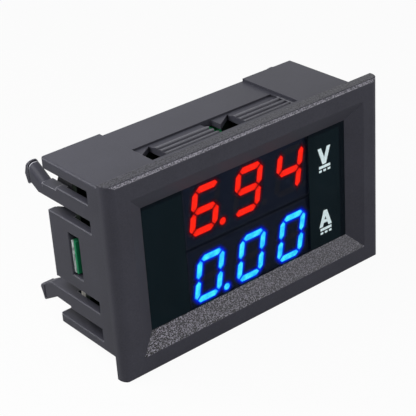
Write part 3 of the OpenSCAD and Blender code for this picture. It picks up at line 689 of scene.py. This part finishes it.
def pale_print_painted_glow():
    """Pale screen print of the unit marks, with a faint painted glow."""
    f = Finish("pale_print_painted_glow")
    cloud = f.noise(0.25)
    # painted glow: a faint emission on the print
    f.set(Base_Color=f.tones(cloud, (0.52, 0.64, 0.66), (0.66, 0.78, 0.80)),
          Roughness=f.span(cloud, 0.55, 0.7), Emission_Color=(0.76, 0.9, 0.92, 1), Emission_Strength=0.2)
    return f.material


def plated(name, dark, light, rough_low, rough_high, scale=(1.0, 1.0, 1.0), size=0.4):
    """Metal with a cloudy plated or drawn finish."""
    f = Finish(name)
    cloud = f.noise(size, 3.0, 0.6, f.stretched(scale))
    f.set(Base_Color=f.tones(cloud, dark, light), Metallic=1.0,
          Roughness=f.span(cloud, rough_low, rough_high))
    f.bump(cloud, 0.008, 0.5)
    return f.material


def rotor_metal():
    """Bright plating with painted shade on the driver slot's floor, and a dark pointer at the rim."""
    f = Finish("rotor_plating")
    low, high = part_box("voltage_trimmer_rotor")
    middle = (low + high) / 2
    x = f.math("SUBTRACT", f.axis("X", f.folded()), abs(middle.x))
    z = f.math("SUBTRACT", f.axis("Z"), middle.z)
    slot_floor = f.both(f.below(f.axis("Y"), high.y - SLOT_FLOOR_DEPTH * MM),
                        f.above(f.axis("Y", f.normal), HALF_LEVEL))
    pointer = f.both(f.between(x, -POINTER_W / 2 * MM, POINTER_W / 2 * MM),
                     f.between(z, POINTER_R[0] * MM, POINTER_R[1] * MM))
    cloud = f.noise(0.4, 3.0, 0.6)
    plating = f.tones(cloud, (0.60, 0.56, 0.45), (0.78, 0.74, 0.62))
    # painted shade on the driver slot's floor; the pointer is a dark mark
    f.set(Base_Color=f.mix(f.either(slot_floor, pointer), plating, (0.045, 0.042, 0.036)),
          Metallic=1.0, Roughness=f.span(cloud, 0.25, 0.4))
    f.bump(cloud, 0.008, 0.5)
    return f.material


def moulded(name, dark, light, rough_low, rough_high, grain_size=0.25):
    """Small plastic or ceramic piece with a fine grain."""
    f = Finish(name)
    grain = f.noise(grain_size, 3.0, 0.6)
    f.set(Base_Color=f.tones(grain, dark, light),
          Roughness=f.span(grain, rough_low, rough_high), Specular_IOR_Level=0.4)
    f.bump(grain, 0.012, 0.6)
    return f.material


def capacitor_shell():
    """Black sleeve with a pale stripe down one side, shrunk over a bright aluminium end."""
    f = Finish("capacitor_shell")
    low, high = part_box("storage_capacitor")
    middle = (low + high) / 2
    x = f.math("SUBTRACT", f.axis("X"), middle.x)
    z = f.math("SUBTRACT", f.axis("Z"), middle.z)
    away = f.math("SQRT", f.math("ADD", f.math("MULTIPLY", x, x), f.math("MULTIPLY", z, z)))
    bare = f.both(f.above(f.axis("Y"), high.y - CAN_END_T * MM), f.below(away, CAN_END_R * MM))
    nearest = f.math("MINIMUM", f.math("ABSOLUTE", x), f.math("ABSOLUTE", z))
    score = f.below(nearest, CAN_SCORE * MM)
    stripe = f.both(f.between(x, -CAN_STRIPE_W / 2 * MM, CAN_STRIPE_W / 2 * MM), f.below(z, 0.0))
    drawn = f.noise(0.3)
    sleeve = f.tones(drawn, (0.012, 0.012, 0.015), (0.022, 0.022, 0.026))
    metal = f.tones(drawn, (0.60, 0.61, 0.63), (0.76, 0.77, 0.79))
    printed = f.mix(stripe, sleeve, (0.42, 0.43, 0.46))
    f.set(Base_Color=f.mix(bare, printed, f.mix(score, metal, (0.16, 0.16, 0.17))),
          Metallic=bare, Roughness=f.span(drawn, 0.26, 0.42))
    f.bump(drawn, 0.006, 0.5)
    return f.material


FINISHES = {
    "grey_moulding": moulded_grey(),
    "tinted_window": tinted_sheet(),
    "green_board": solder_mask(),
    "display_case": display_black(),
    "lit_red": lit_filling("lit_red_filling", (0.80, 0.003, 0.0), (1.0, 0.011, 0.0), (1.0, 0.016, 0.0)),
    "lit_blue": lit_filling("lit_blue_filling", (0.0, 0.05, 0.85), (0.0, 0.38, 1.0), (0.07, 0.92, 0.97)),
    "unlit_segment": unlit_filling(),
    "tinned_metal": plated("tinned_metal", (0.52, 0.52, 0.53), (0.72, 0.72, 0.73), 0.28, 0.45),
    "header_nylon": moulded("natural_nylon", (0.50, 0.48, 0.42), (0.60, 0.58, 0.52), 0.38, 0.5),
    "shunt_alloy": plated("drawn_alloy", (0.42, 0.24, 0.13), (0.60, 0.38, 0.22), 0.25, 0.4,
                          (0.1, 1.0, 1.0), 0.2),
    "trimmer_base": moulded("trimmer_blue", (0.03, 0.10, 0.42), (0.05, 0.14, 0.52), 0.35, 0.5),
    "trimmer_rotor": rotor_metal(),
    "chip_plastic": moulded("chip_black", (0.014, 0.014, 0.016), (0.026, 0.026, 0.028), 0.5, 0.7, 0.15),
    "capacitor_can": capacitor_shell(),
    "ceramic": moulded("fired_ceramic", (0.40, 0.28, 0.16), (0.50, 0.36, 0.22), 0.45, 0.6),
    "solder": plated("bright_solder", (0.60, 0.60, 0.61), (0.78, 0.78, 0.79), 0.16, 0.32),
}
RED_SPILL = light_spill("red_spill", (0.6, 0.0, 0.0), 0.3)
BLUE_SPILL = light_spill("blue_spill", (0.0, 0.02, 1.0), 1.6)
PALE_PRINT_PAINTED_GLOW = pale_print_painted_glow()
SILK_PRINT = moulded("silk_print", (0.66, 0.68, 0.64), (0.78, 0.80, 0.76), 0.5, 0.65)
MASKED_TRACE = moulded("masked_trace", (0.020, 0.20, 0.065), (0.028, 0.25, 0.085), 0.25, 0.35)


# Housing with moulded edges
def make_housing():
    piece = chamfered_copy("housing", "moulded_housing", CHAMFER_W)
    piece.data.materials.append(FINISHES["grey_moulding"])
    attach(piece, BODY)
    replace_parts(piece, "housing")


# Lit segments and the light that they spill
def bends_left(a, b, c):
    """True where the way from a to c by b turns to the left."""
    return (b[0] - a[0]) * (c[1] - a[1]) - (b[1] - a[1]) * (c[0] - a[0]) > STRAIGHT


def outer_chain(run):
    """Outer points of one side of a set of points, without the last, for points sorted along X."""
    chain = []
    for p in run:
        while len(chain) > 1 and not bends_left(chain[-2], chain[-1], p):
            chain.pop()
        chain.append(p)
    return chain[:-1]


def outline_of(points, depth):
    """Convex outline in X and Z, running one way round, of the points that lie at a depth."""
    flat = sorted({(round(p.x, 4), round(p.z, 4)) for p in points if abs(p.y - depth) < SAME_DEPTH})
    return [Vector(p) for p in outer_chain(flat) + outer_chain(flat[::-1])]


def grown(outline, distance):
    """A convex outline with every side moved outwards."""
    count = len(outline)
    moved = []
    for k, p in enumerate(outline):
        before = (p - outline[k - 1]).normalized()
        after = (outline[(k + 1) % count] - p).normalized()
        out_before = Vector((before.y, -before.x))
        out_after = Vector((after.y, -after.x))
        moved.append(p + (out_before + out_after) / (1 + out_before.dot(out_after)) * distance)
    return moved


def edge_width(outline):
    """Width of a lit segment's dimmer edge: less where opposite corners are near each other."""
    if len(outline) >= DOT_POINTS:
        return LIGHT_EDGE
    across = min((p - q).length for p, q in zip(outline, outline[3:]))
    return min(LIGHT_EDGE, LIGHT_EDGE_SHARE * across)


class Rings:
    """Flat rings and fillings in X and Z that carry a glow value at each point."""

    def __init__(self):
        self.vertices = []
        self.faces = []
        self.glow = []

    def ring(self, outline, y, glow):
        first = len(self.vertices)
        self.vertices += [Vector((p.x, y, p.y)) * MM for p in outline]
        self.glow += [glow] * len(outline)
        return list(range(first, first + len(outline)))

    def join(self, a, b):
        for k in range(len(a)):
            after = (k + 1) % len(a)
            self.faces.append([a[k], a[after], b[after], b[k]])

    def piece(self, name, material, slot):
        made = mesh_piece(name, self.vertices, self.faces, material)
        layer = made.data.attributes.new("glow", "FLOAT", "POINT")
        layer.data.foreach_set("value", self.glow)
        return made


def make_lights(row, slot, spill_finish):
    """The lit segments of one display, and the light round them in the back of the window."""
    node = row + "_lit_segments"
    low, high = node_box(node)
    fillings = Rings()
    spill = Rings()
    for k, points in enumerate(islands(node)):
        outline = outline_of(points, low.y)
        back = fillings.ring(outline, high.y, 0.0)
        front = fillings.ring(outline, low.y, 0.0)
        middle = fillings.ring(grown(outline, -edge_width(outline)), low.y, 1.0)
        fillings.faces.append(back)
        fillings.faces.append(middle)
        fillings.join(back, front)
        fillings.join(front, middle)
        y = low.y - SPILL_DEPTH - SPILL_LAYER * k
        rings = [spill.ring(grown(outline, step), y, glow) for step, glow in SPILL_STEPS]
        for inner, outer in zip(rings, rings[1:]):
            spill.join(inner, outer)
    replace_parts(fillings.piece(row + "_segment_lights", FINISHES[slot], slot), node)
    spill.piece(row + "_light_spill", spill_finish, slot)


# Rows of one shape, made by Geometry Nodes
def row_tree(name, sizes, make_shape, turn=(0.0, 0.0, 0.0)):
    """A tree that sets a shape along a row, and the identifiers of its named inputs."""
    tree = bpy.data.node_groups.new(name, "GeometryNodeTree")
    tree.interface.new_socket("Geometry", in_out="OUTPUT", socket_type="NodeSocketGeometry")
    kinds = {"Count": "NodeSocketInt", "First place": "NodeSocketVector", "Step": "NodeSocketVector",
             "Finish": "NodeSocketMaterial", **sizes}
    names = {}
    for label, kind in kinds.items():
        names[label] = tree.interface.new_socket(label, in_out="INPUT", socket_type=kind).identifier
    given = new_node(tree, "NodeGroupInput")
    row = new_node(tree, "GeometryNodeMeshLine", mode="OFFSET")
    spread = new_node(tree, "GeometryNodeInstanceOnPoints")
    spread.inputs["Rotation"].default_value = turn
    real = new_node(tree, "GeometryNodeRealizeInstances")
    paint = new_node(tree, "GeometryNodeSetMaterial")
    result = new_node(tree, "NodeGroupOutput")
    connect(tree,
            (given.outputs["Count"], row.inputs["Count"]),
            (given.outputs["First place"], row.inputs["Start Location"]),
            (given.outputs["Step"], row.inputs["Offset"]),
            (row.outputs["Mesh"], spread.inputs["Points"]),
            (make_shape(tree, given), spread.inputs["Instance"]),
            (spread.outputs["Instances"], real.inputs["Geometry"]),
            (real.outputs["Geometry"], paint.inputs["Geometry"]),
            (given.outputs["Finish"], paint.inputs["Material"]),
            (paint.outputs["Geometry"], result.inputs["Geometry"]))
    return tree, names


def dash_shape(tree, given):
    """A dash is a thin block."""
    dash = new_node(tree, "GeometryNodeMeshCube")
    connect(tree, (given.outputs["Dash size"], dash.inputs["Size"]))
    return dash.outputs["Mesh"]


def via_shape(tree, given):
    """A via shows as a round tinned lip, swept along a ring."""
    ring = new_node(tree, "GeometryNodeCurvePrimitiveCircle")
    ring.inputs["Resolution"].default_value = VIA_RING_SIDES
    lip = new_node(tree, "GeometryNodeCurvePrimitiveCircle")
    lip.inputs["Resolution"].default_value = VIA_LIP_SIDES
    swept = new_node(tree, "GeometryNodeCurveToMesh")
    connect(tree,
            (given.outputs["Ring radius"], ring.inputs["Radius"]),
            (given.outputs["Lip radius"], lip.inputs["Radius"]),
            (ring.outputs["Curve"], swept.inputs["Curve"]),
            (lip.outputs["Curve"], swept.inputs["Profile Curve"]))
    return swept.outputs["Mesh"]


def grown_by_nodes(name, tree, names, values):
    """Runs a tree on a new piece and keeps the result as a plain mesh that rides on the meter."""
    piece = link(bpy.data.objects.new(name, bpy.data.meshes.new(name + "_start")))
    modifier = piece.modifiers.new(name, "NODES")
    modifier.node_group = tree
    for label, value in values.items():
        modifier[names[label]] = value
    keep_result(piece, name)
    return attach(piece, BODY)


# Unit marks on the window
def volt_outlines():
    half, s, h = MARK_W / 2, MARK_STROKE, MARK_H
    notch = h * (1 - (half - s) / (half - s / 2))
    return [[(0, h), (half - s / 2, 0), (half, 0), (half, notch), (s, h)],
            [(MARK_W - s, h), (half, notch), (half, 0), (half + s / 2, 0), (MARK_W, h)]]


def ampere_outlines():
    """The volt mark turned over, with a bar across."""
    turned = [[(MARK_W - x, MARK_H - z) for x, z in outline] for outline in volt_outlines()]
    half, s, h = MARK_W / 2, MARK_STROKE, MARK_H
    crotch = h * (half - s) / (half - s / 2)
    low, high = CROSSBAR_Z
    inner_low = s + (half - s) * low / crotch
    inner_high = s + (half - s) * high / crotch
    bar = [(inner_low, low), (MARK_W - inner_low, low), (MARK_W - inner_high, high), (inner_high, high)]
    return turned + [bar]


def make_unit_marks():
    face_y = node_box("window")[0].y
    bar_x = MARK_X + BAR_INSET
    dash_w = (BAR_W - (DASH_COUNT - 1) * DASH_GAP) / DASH_COUNT
    tree, names = row_tree("direct_current_dashes", {"Dash size": "NodeSocketVector"}, dash_shape)
    for name, base_z, outlines in (("volt", VOLT_MARK_Z, volt_outlines()),
                                   ("ampere", AMPERE_MARK_Z, ampere_outlines())):
        print_layer = Sheet(face_y - PRINT_T, face_y)
        for outline in outlines:
            print_layer.plate([(MARK_X + x, base_z + z) for x, z in outline])
        bar_z = base_z - BAR_DROP
        print_layer.rectangle(bar_x, bar_x + BAR_W, bar_z - BAR_H / 2, bar_z + BAR_H / 2)
        print_layer.piece(name + "_mark", PALE_PRINT_PAINTED_GLOW, "header_nylon")
        grown_by_nodes(name + "_mark_dashes", tree, names, {
            "Count": DASH_COUNT,
            "First place": Vector((bar_x + dash_w / 2, face_y - PRINT_T / 2, base_z - DASH_DROP)) * MM,
            "Step": Vector((dash_w + DASH_GAP, 0, 0)) * MM,
            "Finish": PALE_PRINT_PAINTED_GLOW,
            "Dash size": Vector((dash_w, PRINT_T, DASH_H)) * MM,
        })


# Rear face of the circuit board
def make_traces(rear):
    """Copper lines and areas that show through the mask."""
    copper = Sheet(rear, rear + TRACE_T)
    for (x, first_z), run, step, count in VIA_TRACES:
        for z in (first_z + step * k for k in range(count)):
            copper.strip(((x, z), (x + run, z)), TRACE_W)
    for width, places in TRACES:
        copper.strip(places, width)
    for limits in POURS:
        copper.rectangle(*limits)
    copper.piece("masked_traces", MASKED_TRACE, "green_board")


def make_pads(rear):
    """A tinned pad under every foot that is soldered flat to the board."""
    pads = Sheet(rear, rear + PAD_T)
    for node in ("microcontroller_leads", "amplifier_leads", "regulator_leads", "diode_leads",
                 "trimmer_terminals", "chip_end_caps"):
        for points in islands(node):
            foot = [p for p in points if p.y < rear + FOOT_H]
            xs = [p.x for p in foot]
            zs = [p.z for p in foot]
            pads.rectangle(min(xs) - PAD_MARGIN, max(xs) + PAD_MARGIN,
                           min(zs) - PAD_MARGIN, max(zs) + PAD_MARGIN)
    pads.piece("solder_pads", FINISHES["solder"], "solder")


def print_limits(node):
    """X and Z limits of a printed outline round a piece."""
    low, high = node_box(node)
    return low.x - SILK_MARGIN, high.x + SILK_MARGIN, low.z - SILK_MARGIN, high.z + SILK_MARGIN


def print_brackets(silk, node):
    """A printed bracket on the left and on the right of a piece."""
    x0, x1, z0, z1 = print_limits(node)
    for x, inwards in ((x0, SILK_HOOK), (x1, -SILK_HOOK)):
        silk.strip(((x + inwards, z0), (x, z0), (x, z1), (x + inwards, z1)), SILK_W)


def print_sides(silk, node):
    """A printed line along the left and along the right of a piece."""
    low, high = node_box(node)
    for x in (low.x - SILK_MARGIN, high.x + SILK_MARGIN):
        silk.strip(((x, low.z), (x, high.z)), SILK_W)


def print_ring_and_plus(silk, node):
    """A printed ring round a round piece, with a plus sign beside it."""
    low, high = node_box(node)
    middle = (low + high) / 2
    r = (high.x - low.x) / 2 + SILK_MARGIN
    ring = circle(middle.x, middle.z, r, SILK_RING_SIDES)
    silk.strip(ring + ring[:1], SILK_W)
    x, z, arm = middle.x + r, middle.z + r, SILK_HOOK / 2
    silk.strip(((x - arm, z), (x + arm, z)), SILK_W)
    silk.strip(((x, z - arm), (x, z + arm)), SILK_W)


def make_silk(rear):
    """Printed outlines of the parts on the board; pin marks, but no lettering."""
    silk = Sheet(rear, rear + SILK_T)
    for node in ("signal_header", "current_header"):
        silk.frame_line(*print_limits(node), SILK_W)
    for node in ("voltage_trimmer", "current_trimmer"):
        print_brackets(silk, node)
    for node in ("microcontroller", "amplifier_chip", "protection_diode"):
        print_sides(silk, node)
    for node in ("microcontroller", "amplifier_chip"):
        corner = node_box(node)[0]
        silk.plate(circle(corner.x - PIN_DOT_SHIFT[0], corner.z - PIN_DOT_SHIFT[1],
                          PIN_DOT_R, PIN_DOT_SIDES))
    print_ring_and_plus(silk, "storage_capacitor")
    silk.piece("board_print", SILK_PRINT, "header_nylon")


def make_vias(rear):
    """Rows of vias, those at the ends of traces first."""
    rows = [((x + run, z), (0, step), count) for (x, z), run, step, count in VIA_TRACES]
    rows += [(place, (step, 0), count) for place, step, count in VIA_ROWS]
    sizes = {"Ring radius": "NodeSocketFloat", "Lip radius": "NodeSocketFloat"}
    tree, names = row_tree("via_row", sizes, via_shape, (math.pi / 2, 0.0, 0.0))
    for k, ((x, z), (step_x, step_z), count) in enumerate(rows):
        grown_by_nodes("via_row_%d" % (k + 1), tree, names, {
            "Count": count,
            "First place": Vector((x, rear, z)) * MM,
            "Step": Vector((step_x, 0, step_z)) * MM,
            "Finish": FINISHES["tinned_metal"],
            "Ring radius": VIA_RING_R * MM,
            "Lip radius": VIA_LIP_R * MM,
        })


def make_board_dressing():
    rear = node_box("circuit_board")[1].y
    make_traces(rear)
    make_pads(rear)
    make_silk(rear)
    make_vias(rear)


# Stage, light and camera
def seen_directly(tree):
    """1 for rays that show the background: camera, glossy and transmission rays."""
    path = new_node(tree, "ShaderNodeLightPath")
    found = path.outputs["Is Camera Ray"]
    for name in ("Is Glossy Ray", "Is Transmission Ray"):
        either = new_node(tree, "ShaderNodeMath", operation="MAXIMUM")
        connect(tree, (found, either.inputs[0]), (path.outputs[name], either.inputs[1]))
        found = either.outputs[0]
    return found


def floor_material():
    """Looks almost white to the camera, less so in reflections, and takes the object's shadow."""
    material = bpy.data.materials.new("pale_floor")
    material.use_nodes = True
    tree = material.node_tree
    tree.nodes.clear()
    shade = new_node(tree, "ShaderNodeBsdfDiffuse")
    shade.inputs["Color"].default_value = (FLOOR_COLOUR, FLOOR_COLOUR, FLOOR_COLOUR, 1)
    white = new_node(tree, "ShaderNodeEmission")
    white.inputs["Strength"].default_value = 1.0
    path = new_node(tree, "ShaderNodeLightPath")
    to_camera = new_node(tree, "ShaderNodeMath", operation="MULTIPLY")
    to_camera.inputs[1].default_value = FLOOR_WHITE - FLOOR_WHITE_REFLECTED
    share = new_node(tree, "ShaderNodeMath", operation="MULTIPLY_ADD")
    share.inputs[1].default_value = FLOOR_WHITE_REFLECTED
    mixed = new_node(tree, "ShaderNodeMixShader")
    output = new_node(tree, "ShaderNodeOutputMaterial")
    connect(tree,
            (path.outputs["Is Camera Ray"], to_camera.inputs[0]),
            (seen_directly(tree), share.inputs[0]),
            (to_camera.outputs[0], share.inputs[2]),
            (share.outputs[0], mixed.inputs["Fac"]),
            (shade.outputs[0], mixed.inputs[1]),
            (white.outputs[0], mixed.inputs[2]),
            (mixed.outputs[0], output.inputs["Surface"]))
    return material


def make_stage():
    low = cad_box[0].z
    half = FLOOR_HALF * MM
    mesh = bpy.data.meshes.new("pale_floor")
    mesh.from_pydata([(-half, -half, low), (half, -half, low), (half, half, low), (-half, half, low)],
                     [], [(0, 1, 2, 3)])
    mesh.materials.append(floor_material())
    link(bpy.data.objects.new("pale_floor", mesh))


def make_world():
    """A white background, and a dome that lights the object more from one side."""
    world = bpy.data.worlds.new("studio")
    world.use_nodes = True
    tree = world.node_tree
    background = tree.nodes["Background"]
    background.inputs["Color"].default_value = (1, 1, 1, 1)
    direction = new_node(tree, "ShaderNodeTexCoord")
    towards = new_node(tree, "ShaderNodeVectorMath", operation="DOT_PRODUCT")
    towards.inputs[1].default_value = Vector(DOME_TOWARDS).normalized()
    dome = new_node(tree, "ShaderNodeMapRange")
    dome.inputs["From Min"].default_value = -1.0
    dome.inputs["To Min"].default_value = DOME_DARK
    dome.inputs["To Max"].default_value = DOME_BRIGHT
    level = new_node(tree, "ShaderNodeMapRange")
    level.inputs["To Max"].default_value = 1.0
    connect(tree,
            (direction.outputs["Generated"], towards.inputs[0]),
            (towards.outputs["Value"], dome.inputs["Value"]),
            (seen_directly(tree), level.inputs["Value"]),
            (dome.outputs["Result"], level.inputs["To Min"]),
            (level.outputs["Result"], background.inputs["Strength"]))
    scene.world = world


def make_lamps():
    for name, (direction, distance, side, power) in LAMPS.items():
        lamp = bpy.data.lights.new(name, "AREA")
        lamp.size = side * MM
        lamp.energy = power
        holder = link(bpy.data.objects.new(name, lamp))
        away = Vector(direction).normalized()
        holder.location = away * distance * MM
        holder.rotation_euler = (-away).to_track_quat("-Z", "Y").to_euler()


def make_camera():
    azimuth, elevation, roll = map(math.radians, (CAMERA_AZIMUTH, CAMERA_ELEVATION, CAMERA_ROLL))
    back = Vector((math.sin(azimuth) * math.cos(elevation),
                   -math.cos(azimuth) * math.cos(elevation), math.sin(elevation)))
    right = (-back).cross(Vector((0, 0, 1))).normalized()
    up = right.cross(-back)
    turned_right = math.cos(roll) * right + math.sin(roll) * up
    turned_up = -math.sin(roll) * right + math.cos(roll) * up
    lens = bpy.data.cameras.new("photo_view")
    lens.lens = CAMERA_LENS
    lens.sensor_width = CAMERA_SENSOR
    lens.clip_start = CAMERA_NEAR * MM
    camera = link(bpy.data.objects.new("photo_view", lens))
    turn = Matrix((turned_right, turned_up, back)).transposed().to_4x4()
    camera.matrix_world = Matrix.Translation(Vector(CAMERA_PLACE) * MM) @ turn
    scene.camera = camera


def paint_cad_nodes():
    """Gives each CAD node the finish of its material slot."""
    for part in frame["record"]["subparts"]:
        mesh = frame["nodes"][part["node"]].data
        mesh.materials.clear()
        mesh.materials.append(FINISHES[part["material_slot"]])


scene.view_settings.view_transform = "Standard"
make_camera()
make_stage()
make_world()
make_lamps()
paint_cad_nodes()
make_housing()
make_lights("upper", "lit_red", RED_SPILL)
make_lights("lower", "lit_blue", BLUE_SPILL)
make_unit_marks()
make_board_dressing()
